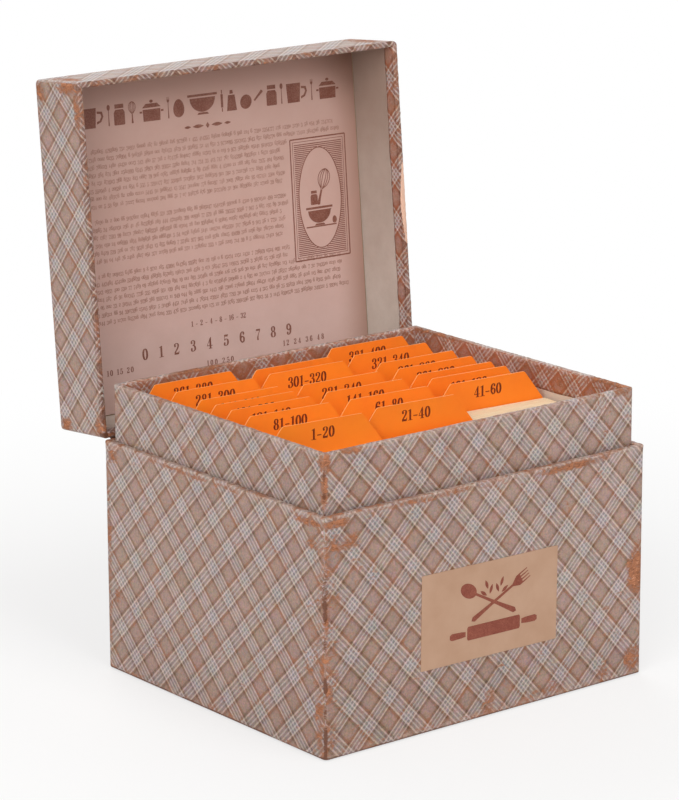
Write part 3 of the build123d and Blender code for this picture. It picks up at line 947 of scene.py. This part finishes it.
# Bold serif figures, one unit high: width, then outlines, dots, and lines, rings or bars with
# their thickness; a 9 is a 6 turned round
glyphs = {
    "0": (0.62, [("ring", (0.3, 0.5, 0.2, 0.46, 0, 360, 40), 0.2)]),
    "1": (0.52, [("outline", [(0.17, 0.05), (0.36, 0.05), (0.36, 0.98), (0.17, 0.9)]),
                 ("outline", [(0.05, 0.82), (0.17, 0.86), (0.17, 0.9), (0.36, 0.98), (0.3, 0.99),
                              (0.05, 0.87)]),
                 ("outline", block(0.03, 0.0, 0.5, 0.05))]),
    "2": (0.64, [("line", [(0.14, 0.72), (0.14, 0.88), (0.3, 0.965), (0.46, 0.88), (0.47, 0.7), (0.36, 0.48),
                           (0.2, 0.28), (0.1, 0.12)], 0.17),
                 ("dot", (0.15, 0.74, 0.1, 0.09)),
                 ("outline", [(0.05, 0.0), (0.52, 0.0), (0.58, 0.28), (0.53, 0.28), (0.48, 0.17), (0.1, 0.17),
                              (0.05, 0.08)])]),
    "3": (0.62, [("line", [(0.12, 0.76), (0.16, 0.92), (0.3, 0.965), (0.43, 0.87), (0.44, 0.7), (0.36, 0.57),
                           (0.22, 0.53)], 0.17),
                 ("line", [(0.22, 0.53), (0.38, 0.5), (0.48, 0.36), (0.47, 0.16), (0.3, 0.035), (0.15, 0.08),
                           (0.11, 0.24)], 0.19),
                 ("dot", (0.14, 0.76, 0.095, 0.085)), ("dot", (0.13, 0.24, 0.095, 0.09))]),
    "4": (0.66, [("outline", [(0.3, 0.05), (0.48, 0.05), (0.48, 1.0), (0.42, 1.0), (0.3, 0.84)]),
                 ("bar", [(0.43, 0.97), (0.05, 0.3)], 0.055),
                 ("outline", block(0.03, 0.24, 0.62, 0.3)),
                 ("outline", block(0.2, 0.0, 0.58, 0.05))]),
    "5": (0.62, [("outline", [(0.1, 0.8), (0.46, 0.8), (0.53, 0.98), (0.1, 0.98)]),
                 ("outline", [(0.1, 0.46), (0.15, 0.5), (0.15, 0.82), (0.1, 0.82)]),
                 ("line", [(0.12, 0.5), (0.27, 0.6), (0.44, 0.52), (0.49, 0.32), (0.42, 0.11), (0.27, 0.035),
                           (0.13, 0.09), (0.11, 0.24)], 0.19),
                 ("dot", (0.13, 0.24, 0.095, 0.09))]),
    "6": (0.62, [("line", [(0.47, 0.8), (0.42, 0.93), (0.31, 0.965), (0.17, 0.82), (0.12, 0.5), (0.14, 0.25),
                           (0.3, 0.035)], 0.19),
                 ("line", [(0.13, 0.4), (0.3, 0.58), (0.46, 0.46), (0.49, 0.3), (0.44, 0.12), (0.3, 0.035)],
                  0.19),
                 ("dot", (0.45, 0.79, 0.09, 0.085))]),
    "7": (0.58, [("outline", [(0.08, 0.82), (0.54, 0.82), (0.54, 0.98), (0.12, 0.98), (0.05, 0.7),
                              (0.09, 0.7)]),
                 ("outline", [(0.47, 0.84), (0.54, 0.84), (0.36, 0.45), (0.33, 0.2), (0.36, 0.06),
                              (0.34, 0.0), (0.2, 0.0), (0.17, 0.08), (0.2, 0.3), (0.29, 0.5)])]),
    "8": (0.62, [("ring", (0.3, 0.745, 0.15, 0.215, 0, 360, 32), 0.17),
                 ("ring", (0.3, 0.275, 0.185, 0.24, 0, 360, 32), 0.2)]),
}
glyphs["9"] = glyphs["6"]
advance = {" ": 0.45, "-": 0.6, **{figure: width for figure, (width, rows) in glyphs.items()}}


def digit(figure):
    d = Drawing()
    for kind, points, *thick in glyphs[figure][1]:
        if kind == "outline":
            d.polygon(points)
        elif kind == "dot":
            d.polygon(oval(*points, 24))
        elif kind == "bar":
            d.stroke(points, *thick)
        else:
            d.stroke(smooth_line(points) if kind == "line" else arc(*points), contrast(*thick))
    if figure != "9":
        return d
    turned = Drawing()
    turned.add(d, (-1, 0, 0, -1), (0.6, 1.0))
    return turned


def figures(d, text, x, y, height, spread=1.0, centred=False, old_style=False):
    """Sets plain figures from x on a baseline; a space is a gap, a dash a short rule."""
    if centred:
        x -= sum(advance[c] for c in text) * height * spread / 2
    for c in text:
        if c == "-":
            d.stroke([(x + share * height, y + 0.36 * height) for share in (0.08, 0.5)], 0.09 * height)
        elif c != " ":
            tall = height * (0.72 if old_style and c in "012" else 1.0)
            low = height * (0.24 if old_style and c in "34579" else 0.0)
            d.add(digit(c), (height, 0, 0, tall), (x, y - low))
        x += advance[c] * height * spread
    return x


def place_drawing(name, drawing, origin, across, up, material, body):
    """Puts a drawing on a plane, a hair above it; across and up are unit vectors."""
    o, a, b = Vector(origin), Vector(across), Vector(up)
    n = a.cross(b)
    verts = [o + a * x + b * y + n * (0.03 + 0.003 * k) for (x, y), k in zip(drawing.verts, drawing.layers)]
    faces = []
    for face in drawing.faces:
        corners = [drawing.verts[k] for k in face]
        area = sum(x0 * y1 - x1 * y0 for (x0, y0), (x1, y1) in zip(corners, corners[1:] + corners[:1]))
        faces.append(face if area >= 0 else face[::-1])
    return make_object(name, verts, faces, material, body)


# ---- ornaments

def moved(points, x, y, scale, turn):
    """Points scaled, turned in degrees and shifted."""
    c, s = scale * math.cos(math.radians(turn)), scale * math.sin(math.radians(turn))
    return [(x + c * a - s * b, y + s * a + c * b) for a, b in points]


def shaped(d, parts, x=0.0, y=0.0, scale=1.0, turn=0.0):
    """Adds polygons, moved, scaled and turned in degrees."""
    for points in parts:
        d.polygon(moved(points, x, y, scale, turn))


def leaf(d, x, y, length, width, turn):
    side = [(k / 8 * length, math.sin(math.pi * k / 8) * width / 2) for k in range(9)]
    shaped(d, [side + [(a, -b) for a, b in side[-2:0:-1]]], x, y, 1.0, turn)


def grip(start, end, thin, thick):
    """Outline of a handle along x, thin at its start and rounded at its thicker end."""
    side = []
    for t in (k / 20 for k in range(21)):
        w = thin + (thick - thin) * t**2.2
        w = w * math.sqrt(max(0.0, 1 - max(0.0, (t - 0.93) / 0.07) ** 2)) + 0.02
        side.append((start + (end - start) * t, w / 2))
    return mirrored(side)


spoon = [oval(0, 0, 4.6, 3.0, 36), grip(4.0, 29.0, 1.1, 2.6)]
fork = [[(-5.4, y - 0.2), (-1.0, y - 0.34), (-1.0, y + 0.34), (-5.4, y + 0.2)]
        for y in (-2.1, -0.7, 0.7, 2.1)]
fork += [mirrored([(-1.0, -2.44), (0.9, -2.4), (2.4, -1.6), (4.2, -0.55)]), grip(4.1, 29.0, 1.1, 2.6)]
pin = [[(-12, -2.6), (12, -2.6), (12.5, -2.0), (12.5, 2.0), (12, 2.6), (-12, 2.6), (-12.5, 2.0),
        (-12.5, -2.0)]]
pin += [mirrored([(way * 13.2, -0.9), (way * 15.2, -1.15), (way * 19.6, -1.3), (way * 20.6, -0.7)])
        for way in (-1, 1)]
bowl = [[(-6.5, 6.4)] + arc(0, 6.4, 6.0, 5.4, 180, 360, 28) + [(6.5, 6.4)],
        taper(7.0, 7.0, 7.0, 7.9), taper(2.8, 0.0, 2.1, 0.8)]
jar = [[(-2.7, 0.3), (-2.3, 0), (2.3, 0), (2.7, 0.3), (2.7, 5.2), (1.9, 6.4), (-1.9, 6.4), (-2.7, 5.2)],
       taper(2.2, 6.9, 2.2, 8.6)]
mug = [[(-2.6, 0), (1.8, 0), (2.2, 5.6), (-3.0, 5.6)],
       [(2.4, 4.6), (4.2, 4.4), (4.6, 3.0), (3.8, 1.5), (2.3, 0.9), (2.3, 1.6), (3.3, 2.0), (3.9, 3.0),
        (3.6, 3.8), (2.4, 3.9)]]
pan = [oval(0, 3.0, 3.2, 3.0), grip(3.4, 9.5, 0.9, 1.5)]
egg = [[(2.0 * math.cos(a) * (1 - 0.12 * math.sin(a)), 3.0 + 2.7 * math.sin(a))
        for a in [2 * math.pi * k / 20 for k in range(20)]]]
pot = [taper(3.8, 0, 4.0, 4.4), taper(4.2, 5.0, 2.6, 6.5), oval(0, 7.3, 0.8, 0.6, 12),
       block(-5.4, 3.2, -4.2, 3.9), block(4.2, 3.2, 5.4, 3.9)]
grater = [taper(2.6, 0, 1.7, 6.6), taper(0.9, 7.1, 0.7, 8.6)]


def whisk(d, x, y, scale, turn=0.0):
    """A balloon whisk standing on its handle, 15 high before scaling."""
    shaped(d, [[(a, b) for b, a in grip(6.0, -0.6, 0.9, 1.8)]], x, y, scale, turn)
    for reach in (0.8, 1.9, 3.0):
        side = [(0.25, 6.2), (reach * 0.8, 8.6), (reach, 11.2), (reach * 0.72, 13.6), (0, 14.8)]
        ring = moved(side + [(-a, b) for a, b in side[-2::-1]], x, y, scale, turn)
        d.stroke(smooth_line(ring, 8), 0.36 * math.sqrt(scale))


# The label's print: spoon, fork, rolling pin and six leaves
label_print = Drawing()
shaped(label_print, spoon, -13.5, 8.2, 0.98, -27)
shaped(label_print, fork, 13.5, 8.2, 0.98, 207)
shaped(label_print, pin, 0, -9.6, 1.12, 0)
for way in (-1, 1):
    for x, y, turn in ((5.5, 7.2, 70), (4.0, 5.0, 110), (6.5, 4.6, 35)):
        leaf(label_print, way * x * 0.6, y, 4.2, 1.5, turn if way > 0 else 180 - turn)
tilt, label_middle = math.radians(-0.8), (2.3, -base_depth / 2 - paper, 46.7)
along, across = (math.cos(tilt), 0, math.sin(tilt)), (-math.sin(tilt), 0, math.cos(tilt))
place_drawing("label_ornament", label_print, label_middle, along, across, brown_ink, "box")

# The print in the lid: a row of kitchen things and a leaf border under it
coarse = 4
sheet_print, small_print = Drawing(), Drawing()
frieze = [(mug, 1.5, 0), (spoon, 0.27, -90), (jar, 1.03, 0), (whisk, 0.60, 0), (pot, 1.15, 0),
          (fork, 0.27, -90), (egg, 1.45, 0), (bowl, 1.12, 0), (pin, 0.23, 90), (grater, 1.03, 0),
          (pan, 1.0, 42), (jar, 1.03, 0), (spoon, 0.27, -90), (mug, 1.5, 0), (fork, 0.27, -90),
          (pot, 1.15, 0)]
frieze_start, frieze_length, frieze_foot = -65.0, 137.0, 50.2
motifs = []
for thing, scale, turn in frieze:
    motif = Drawing()
    if thing is whisk:
        whisk(motif, 0, 0, scale)
    else:
        shaped(motif, thing, 0, 0, scale, turn)
    xs, ys = zip(*motif.verts)
    motifs.append((motif, min(xs), max(xs), min(ys)))
gap = (frieze_length - sum(high - low for _, low, high, _ in motifs)) / (len(motifs) - 1)
x = frieze_start
for motif, low, high, foot in motifs:
    sheet_print.add(motif, shift=(x - low, frieze_foot - foot))
    x += high - low + gap
for way in (-1, 1):
    for x, length, width in ((2.0, 6.0, 1.6), (8.8, 3.6, 1.2)):
        leaf(sheet_print, way * x, 45.4, length, width, 0 if way > 0 else 180)
sheet_print.polygon([(-1.0, 45.4), (0.0, 44.1), (1.0, 45.4), (0.0, 46.7)])

# Lines of small figures in three paragraphs, the first of each indented
line_pitch, line_start, wide, narrow = 3.3, -65.5, 72.0, 41.5
rows = [(39.6 - line_pitch * k, k == 0, wide if k < 2 else narrow) for k in range(8)]
rows += [(9.9 - line_pitch * k, k == 0, narrow) for k in range(6)]
rows += [(-13.0 - line_pitch * k, k == 0, narrow if k < 2 else wide) for k in range(7)]
amounts = random.Random(SEED + 5)
for y, first, end in rows:
    x = line_start + (4.0 if first else 0.0)
    while x < end - 4.0:
        word = "".join(str(amounts.randrange(10)) for _ in range(amounts.choice((1, 2, 3, 3, 4, 5, 6, 7))))
        x = figures(small_print, word, x, y, 1.85, 0.80, old_style=True) + 0.95

# A framed panel with a ruled ground, and an oval in it with a bowl and a whisk
left, right, low, high = 43.6, 74.0, -19.5, 34.0
for inset, width in ((0.0, 0.6), (1.3, 0.25)):
    x0, x1, y0, y1 = left + inset, right - inset, low + inset, high - inset
    for line in (((x0, y0), (x1, y0)), ((x0, y1), (x1, y1)), ((x0, y0), (x0, y1)), ((x1, y0), (x1, y1))):
        sheet_print.stroke(line, width)
mid_x, mid_y = (left + right) / 2, (low + high) / 2
oval_half, oval_tall, ground_half = 11.9, 22.5, 13.2
y = low + 2.2
while y < high - 2.0:
    clear = 0.0
    if abs(y - mid_y) < oval_tall:
        clear = oval_half * math.sqrt(1 - ((y - mid_y) / oval_tall) ** 2)
    for way in (-1, 1):
        if ground_half - clear > 0.4:
            sheet_print.stroke([(mid_x + way * clear, y), (mid_x + way * ground_half, y)], 0.42)
    y += 0.84
coarse = 1
sheet_print.stroke(arc(mid_x, mid_y, 11.7, 22.2, 0, 360, 72), 0.45)
shaped(sheet_print, [taper(8.4, -12.9, 8.4, -12.3)], mid_x, mid_y)
shaped(sheet_print, bowl, mid_x - 0.8, mid_y - 12.2, 1.05)
whisk(sheet_print, mid_x - 1.0, mid_y - 2.6, 1.05, -18)
shaped(sheet_print, egg, mid_x + 7.4, mid_y - 12.3, 0.6)
shaped(sheet_print, jar, mid_x - 3.4, mid_y - 2.9, 0.72)
for text, *setting in (("1 - 2 - 4 - 8 - 16 - 32", 0, -40.2, 2.4, 1.0, True),
                       ("0 1 2 3 4 5 6 7 8 9", 0, -51.0, 5.0, 1.62, True),
                       ("12 24 36 48", 34.0, -55.6, 2.5, 1.5), ("5 10 15 20", -63.5, -55.2, 2.5, 1.3),
                       ("100 250", 0, -58.4, 2.5, 1.5, True)):
    figures(sheet_print, text, *setting)
lean, sheet_height = math.radians(-0.6), 28.8
centre = lid_to_row(0, lid_centre, sheet_height)
up = Vector((0, -math.cos(lid_angle), -math.sin(lid_angle)))
side = Vector((1, 0, 0))
along, across = side * math.cos(lean) + up * math.sin(lean), up * math.cos(lean) - side * math.sin(lean)
place_drawing("lid_sheet_print", sheet_print, centre, along, across, sheet_ink, "lid")
place_drawing("lid_sheet_figures", small_print, centre, along, across, small_ink, "lid")


# ---- guides and their numbers

guide_y = [neck_back - neck_wall - pack_gap - guide_thickness / 2
           - card_width / 2 * math.sin(math.radians(back_skew))]
for space in reversed(guide_spaces):
    guide_y.insert(0, guide_y[0] - space - guide_thickness)


def skew(y):
    """How far a card at a place in the row is turned, as the unit vectors across and back from it."""
    share = (y - guide_y[0]) / (guide_y[-1] - guide_y[0])
    turn = math.radians(front_skew + (back_skew - front_skew) * share)
    return Vector((math.cos(turn), -math.sin(turn), 0)), Vector((math.sin(turn), math.cos(turn), 0))


for number, (tab, y) in enumerate(zip(guide_tabs, guide_y), start=1):
    node = f"guide_{number:02d}"
    paint(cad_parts[node], orange)
    across, back = skew(y)
    centre = ("LMR".index(tab) - 1) * (card_width / 2 - tab_top_width / 2 - tab_side_run)
    origin = Vector((0, y, cards_z + card_height + number_rise)) + across * centre
    origin -= back * (guide_thickness / 2)
    whole = Drawing()
    figures(whole, f"{20 * number - 19}-{20 * number}", 0, 0, number_height, 1.0, True)
    place_drawing(f"guide_number_{number:02d}", whole, origin, across, (0, 0, 1), digit_ink, node)


# ---- packs of cards

first_pack, least_space, card_share, front_drop = 12.0, 3.5, 0.82, 1.5
packs = [(guide_y[0] - guide_thickness / 2 - pack_gap - first_pack / 2, first_pack)]
packs += [(y + guide_thickness / 2 + space / 2, space - 2 * pack_gap)
          for y, space in zip(guide_y, guide_spaces) if space >= least_space]
nx, nz = 10, 5


def card_face(*corners):
    """Point numbers of corners given as side (0 front, 1 back), column and row."""
    return [side * (nx + 1) * (nz + 1) + j * (nx + 1) + i for side, i, j in corners]


card_faces = []
for j in range(nz):
    for i in range(nx):
        card_faces.append(card_face((0, i, j), (0, i + 1, j), (0, i + 1, j + 1), (0, i, j + 1)))
        card_faces.append(card_face((1, i, j), (1, i, j + 1), (1, i + 1, j + 1), (1, i + 1, j)))
for i in range(nx):
    card_faces.append(card_face((0, i, nz), (0, i + 1, nz), (1, i + 1, nz), (1, i, nz)))
    card_faces.append(card_face((0, i, 0), (1, i, 0), (1, i + 1, 0), (0, i + 1, 0)))
for j in range(nz):
    card_faces.append(card_face((0, 0, j), (0, 0, j + 1), (1, 0, j + 1), (1, 0, j)))
    card_faces.append(card_face((0, nx, j), (1, nx, j), (1, nx, j + 1), (0, nx, j + 1)))

shuffle = random.Random(SEED)
for number, (y, thickness) in enumerate(packs, start=1):
    node = f"recipe_cards_{number:02d}"
    across, back = skew(y)
    count = round(thickness / card_pitch)
    pitch_y = thickness / count
    verts, faces = [], []
    for card in range(count):
        shift = shuffle.uniform(-0.5, 0.5)
        drop = shuffle.choice((0.0, 0.05, 0.12, 0.2, 0.35, 0.6)) * shuffle.uniform(0.5, 1.0)
        bow = 0.03 * shuffle.uniform(-1, 1)
        if number == 1 and card > count * 0.4:
            drop += front_drop
        mid = (card + 0.5) * pitch_y - thickness / 2
        faces += [[len(verts) + k for k in face] for face in card_faces]
        for side in (-0.5, 0.5):
            for j in range(nz + 1):
                for i in range(nx + 1):
                    out = bow * math.cos(math.pi * (i / nx - 0.5)) * j / nz
                    p = Vector((0, y, cards_z)) + across * ((i / nx - 0.5) * card_width + shift)
                    p += back * (mid + side * (pitch_y * card_share) + out)
                    verts.append((p.x, p.y, p.z + j / nz * (card_height - drop)))
    cards = make_object(f"cards_{number:02d}", verts, faces, cream, body=node)
    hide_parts(node)


# ---- boards, linings and the sheets

finishes = {"neck_lining": neck_inside, "lid_lining": lid_inside, "base_bottom_sheet": under_sheet,
            "lid_sheet": sheet_paper, "front_label": label_paper}
for node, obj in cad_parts.items():
    if node.endswith("_board"):
        paint(obj, board)
    elif node in finishes:
        paint(obj, finishes[node])


# ---- paper hinge

# The strip's middle line: up the tray's back, round the bend and along the lid's back wall
bend_below, bend_above = 1.6, 1.4
along_flap = [k * hinge_step for k in range(int(hinge_flap / hinge_step) + 1)]
middle_line = [(base_depth / 2 + paper, hinge_z - seam_gap - hinge_flap + way) for way in along_flap]
middle_line = [(y, z) for y, z in middle_line if z < hinge_z - bend_below]
lid_line = [lid_to_row(0, 0, seam_gap + bend_above + way)[1:] for way in along_flap
            if seam_gap + bend_above + way <= seam_gap + hinge_flap]
start, end, corner = Vector(middle_line[-1]), Vector(lid_line[0]), Vector((hinge_y, hinge_z))
for t in (k / 8 for k in range(1, 8)):
    middle_line.append(tuple((1 - t) ** 2 * start + 2 * t * (1 - t) * corner + t * t * end))
middle_line += lid_line
last = len(middle_line) - 1
verts, faces = [], []
for k, (y, z) in enumerate(middle_line):
    d = (Vector(middle_line[min(last, k + 1)]) - Vector(middle_line[max(0, k - 1)])).normalized()
    for side in (0.0, -paper):
        for i in range(hinge_columns + 1):
            x = (i / hinge_columns - 0.5) * hinge_width
            if i in (0, hinge_columns):
                x += 0.4 * wobble(0, y, z, 5.0, 21) * (1 if i else -1)
            verts.append((x, y + d.y * side, z - d.x * side))
back_row = hinge_columns + 1
per = 2 * back_row
for a in range(0, last * per, per):
    for i in range(a, a + hinge_columns):
        b = i + back_row
        faces.append([i + 1, i, i + per, i + per + 1])
        faces.append([b, b + 1, b + per + 1, b + per])
    faces.append([a, a + back_row, a + per + back_row, a + per])
    e = a + hinge_columns
    faces.append([e + back_row, e, e + per, e + per + back_row])
for i in range(hinge_columns):
    e = last * per + i
    faces.append([i, i + 1, i + back_row + 1, i + back_row])
    faces.append([e + 1, e, e + back_row, e + back_row + 1])
hinge = make_object("hinge_strip", verts, faces, hinge_paper, smooth=True)
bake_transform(hinge)
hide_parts("hinge_base_flap", "hinge_lid_flap")


# ---- floor, lights and camera

def seen_rays(g):
    """1 for rays that see the surroundings straight, in a gloss or through something."""
    ray = g.node("ShaderNodeLightPath", out=None)
    return g.largest(ray["Is Camera Ray"], g.largest(ray["Is Glossy Ray"], ray["Is Transmission Ray"]))


g = Graph("floor")
shaded = g.node("ShaderNodeBsdfDiffuse", {"Color": (0.86, 0.85, 0.84, 1)})
glow = g.node("ShaderNodeEmission", {"Color": (1, 1, 1, 1), "Strength": 1.0})
away = g.vector("LENGTH", g.place())
glowing = g.times(seen_rays(g), g.span(away, 0.12, 0.5, 0.62, 1.0, smooth=True))
floor_material = g.output(g.node("ShaderNodeMixShader", {0: glowing, 1: shaded, 2: glow}))
bpy.ops.mesh.primitive_circle_add(vertices=96, radius=6.0, fill_type="NGON", location=(0, 0, -0.0002))
floor = bpy.context.object
floor.name = "floor"
floor.data.materials.append(floor_material)
floor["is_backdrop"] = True

g = Graph("studio", bpy.data.worlds)
soft, white = (g.node("ShaderNodeBackground", {0: (1, 1, 1, 1), 1: strength}) for strength in (0.457, 1.0))
bpy.context.scene.world = g.output(
    g.node("ShaderNodeMixShader", {0: seen_rays(g), 1: soft, 2: white}), "ShaderNodeOutputWorld")

lamp_aim = Vector((0, 0, 0.1))
lamps = [("key", (-1.75, -1.0, 1.05), 1.5, 29.6), ("front", (-0.1, -1.75, 1.4), 1.0, 8.4),
         ("overhead", (0.1, -0.9, 2.1), 0.9, 8.6), ("rear", (0.6, 1.8, 1.4), 1.4, 13.0)]
for name, spot, size, power in lamps:
    lamp = bpy.data.lights.new(name, "AREA")
    lamp.shape, lamp.size, lamp.energy = "SQUARE", size, power
    obj = add_object(name, lamp)
    obj.location = spot
    obj.rotation_mode = "QUATERNION"
    obj.rotation_quaternion = (lamp_aim - Vector(spot)).to_track_quat("-Z", "Y")

# The camera's direction and shift, its distance in millimetres, and its focal length in pixels
# of an 800 pixel picture
az, el, roll = math.radians(-38.489), math.radians(14.782), math.radians(-0.240)
shift_x, shift_y, distance, focal, picture, sensor = -14.408, 113.075, 1516.06, 3614.4, 800.0, 36.0
back = Vector((math.sin(az) * math.cos(el), -math.cos(az) * math.cos(el), math.sin(el)))
right = Vector((0, 0, 1)).cross(back).normalized()
upward = back.cross(right)
right, upward = (math.cos(roll) * right + math.sin(roll) * upward,
                 -math.sin(roll) * right + math.cos(roll) * upward)
camera_data = bpy.data.cameras.new("camera")
camera = add_object("camera", camera_data)
camera.matrix_world = Matrix((right, upward, back)).transposed().to_4x4()
camera.location = (back * distance + right * shift_x + upward * shift_y) * MM
camera_data.sensor_fit = "AUTO"
camera_data.sensor_width = sensor
camera_data.lens = focal * sensor / picture
camera_data.clip_start, camera_data.clip_end = 0.05, 30.0
bpy.context.scene.camera = camera
bpy.context.scene.view_settings.view_transform = "Standard"

low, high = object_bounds()
